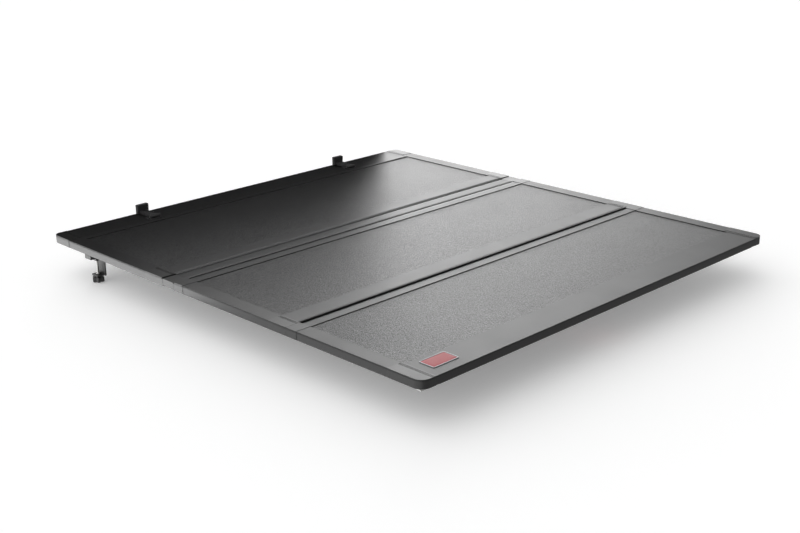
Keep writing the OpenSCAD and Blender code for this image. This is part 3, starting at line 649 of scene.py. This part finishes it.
FRONT_LEFT, REAR_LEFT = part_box("front_left_corner"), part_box("rear_left_corner")
CENTRE = Vector((0, (FRONT_LEFT[1].y + REAR_LEFT[0].y) / 2, FRONT_LEFT[0].z))
FLOOR_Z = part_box("left_clamp_knob")[0].z
FLOOR_LIFT = 0.2


def plane(name, corners):
    mesh = bpy.data.meshes.new(name)
    mesh.from_pydata(corners, [], [(0, 1, 2, 3)])
    obj = bpy.data.objects.new(name, mesh)
    bpy.context.scene.collection.objects.link(obj)
    return obj


def floor():
    """Pale floor, clear from below and left out of reflections so that the underside is lit."""
    half = 30
    made = plane("floor", [(-half, -half, FLOOR_Z), (half, -half, FLOOR_Z), (half, half, FLOOR_Z),
                           (-half, half, FLOOR_Z)])
    s = Shader("pale_floor")
    seen = s.node("ShaderNodeLightPath").outputs["Is Camera Ray"]
    s.finish(Base_Color=(0.9, 0.9, 0.9, 1), Roughness=0.9, Specular_IOR_Level=0.0,
             Emission_Color=(1, 1, 1, 1), Emission_Strength=s.math("MULTIPLY", seen, FLOOR_LIFT))
    below = s.node("ShaderNodeNewGeometry").outputs["Backfacing"]
    clear = s.node("ShaderNodeBsdfTransparent").outputs[0]
    mix = s.node("ShaderNodeMixShader")
    for socket, value in zip(mix.inputs, (below, s.principled.outputs[0], clear)):
        s.set(socket, value)
    s.set(s.tree.nodes["Material Output"].inputs["Surface"], mix.outputs[0])
    made.data.materials.append(s.material)
    made.visible_diffuse = False
    made.visible_glossy = False


def card(name, corners, colour, glow):
    """A flat card seen only in reflections, black or glowing."""
    made = plane(name, corners)
    s = Shader(name)
    s.finish(Base_Color=colour, Roughness=0.9, Emission_Color=(1, 1, 1, 1), Emission_Strength=glow)
    s.material.cycles.emission_sampling = "NONE"
    made.data.materials.append(s.material)
    made.visible_camera = False
    made.visible_diffuse = False
    made.visible_shadow = False
    made.visible_transmission = False


def cards():
    """A black card in front shades the front left, and a pale one lights the left side's front."""
    black = (0.01, 0.01, 0.01, 1)
    side = FRONT_LEFT[0].x
    y, lean, top = FRONT_LEFT[1].y + 0.08, 0.15, 0.62
    x0, x1 = side - 0.09, 0.86
    card("black_card", [(x0, y, 0), (x1, y, 0), (x1, y + lean, top), (x0, y + lean, top)], black, 0)
    near, far, ahead = side - 0.03, side - 0.6, 0.9
    low = FLOOR_Z + 2 * MM
    card("pale_card", [(far, -0.75, low), (near, -0.55, low), (near, ahead, low),
                       (far, ahead, low)], black, 4.5)


GLOW_AZIMUTH = math.radians(46.4)
GLOW_HALF_WIDTH = math.radians(15)
GLOW = 5.4
LEFT_LIGHT, RIGHT_LIGHT = 1.3, 0.38
SEEN_WHITE = 0.97


def world():
    """Pale studio: soft light, weaker on the right, with a tall glow beyond the cover."""
    made = bpy.data.worlds.new("studio")
    bpy.context.scene.world = made
    made.use_nodes = True
    made.cycles.sampling_method = "NONE"
    tree = made.node_tree
    tree.nodes.clear()

    def node(kind, operation=None, *values):
        new = tree.nodes.new(kind)
        if operation:
            new.operation = operation
        for socket, value in zip(new.inputs, values):
            if isinstance(value, bpy.types.NodeSocket):
                tree.links.new(value, socket)
            else:
                socket.default_value = value
        return new

    def ramp(value, from_min, from_max, to_min, to_max):
        new = node("ShaderNodeMapRange", None, value, from_min, from_max, to_min, to_max)
        new.interpolation_type = "SMOOTHSTEP"
        return new.outputs["Result"]

    direction = node("ShaderNodeTexCoord").outputs["Generated"]
    flat = node("ShaderNodeVectorMath", "MULTIPLY", direction, (1, 1, 0)).outputs["Vector"]
    heading = node("ShaderNodeVectorMath", "NORMALIZE", flat).outputs["Vector"]
    ahead, aside = math.cos(GLOW_AZIMUTH), math.sin(GLOW_AZIMUTH)
    toward = node("ShaderNodeVectorMath", "DOT_PRODUCT", heading, (aside, ahead, 0)).outputs["Value"]
    right = node("ShaderNodeVectorMath", "DOT_PRODUCT", heading, (ahead, -aside, 0)).outputs["Value"]
    height = node("ShaderNodeSeparateXYZ", None, direction).outputs["Z"]
    beam = ramp(toward, math.cos(GLOW_HALF_WIDTH), 1.0, 0.0, GLOW)
    tall = node("ShaderNodeMath", "MULTIPLY", beam, ramp(height, 0.75, 0.1, 0.0, 1.0)).outputs[0]
    glow = node("ShaderNodeMath", "MULTIPLY", tall, ramp(height, -0.05, 0.0, 0.0, 1.0)).outputs[0]
    even = ramp(right, -0.1, 0.15, LEFT_LIGHT, RIGHT_LIGHT)
    light = node("ShaderNodeMath", "ADD", glow, even).outputs[0]
    seen = node("ShaderNodeLightPath").outputs["Is Camera Ray"]
    strength = node("ShaderNodeMix", None, seen)
    tree.links.new(light, strength.inputs[2])
    strength.inputs[3].default_value = SEEN_WHITE
    background = node("ShaderNodeBackground")
    background.inputs["Color"].default_value = (1, 1, 1, 1)
    tree.links.new(strength.outputs[0], background.inputs["Strength"])
    tree.links.new(background.outputs[0], node("ShaderNodeOutputWorld").inputs[0])


def camera():
    azimuth, elevation, roll = math.radians(-44.8), math.radians(19.2), math.radians(-0.54)
    distance = 4.019
    aim = CENTRE + Vector((-0.246, -0.222, 0.026))
    data = bpy.data.cameras.new("camera")
    data.sensor_width = 36
    data.lens = 56.74
    made = bpy.data.objects.new("camera", data)
    bpy.context.scene.collection.objects.link(made)
    back = Vector((math.sin(azimuth) * math.cos(elevation), -math.cos(azimuth) * math.cos(elevation),
                   math.sin(elevation)))
    turn = (-back).to_track_quat("-Z", "Y").to_matrix() @ Matrix.Rotation(roll, 3, "Z")
    made.matrix_world = Matrix.Translation(aim + back * distance) @ turn.to_4x4()
    bpy.context.scene.camera = made


# ---- Build ----

dress_cad_parts()
skin_sheet("front", "front_header_rail", "front_panel_rear_rail")
skin_sheet("middle", "middle_panel_front_rail", "middle_panel_rear_rail")
skin_sheet("rear", "rear_panel_front_rail", "tail_rail")
ribbed_seal("front_rubber_seal", "front_seal", True)
ribbed_seal("rear_rubber_seal", "rear_seal", True)
for panel in ("front", "middle", "rear"):
    ribbed_seal(f"{panel}_side_rubber_seals", f"{panel}_panel_side_seals", False)
    panel_screws(panel)
for side in ("left", "right"):
    hook_pad(side)
    clamp_knob(side)
return_spring()
handle_grip()
badge()

floor()
cards()
world()
camera()
bpy.context.scene.view_settings.view_transform = "Standard"
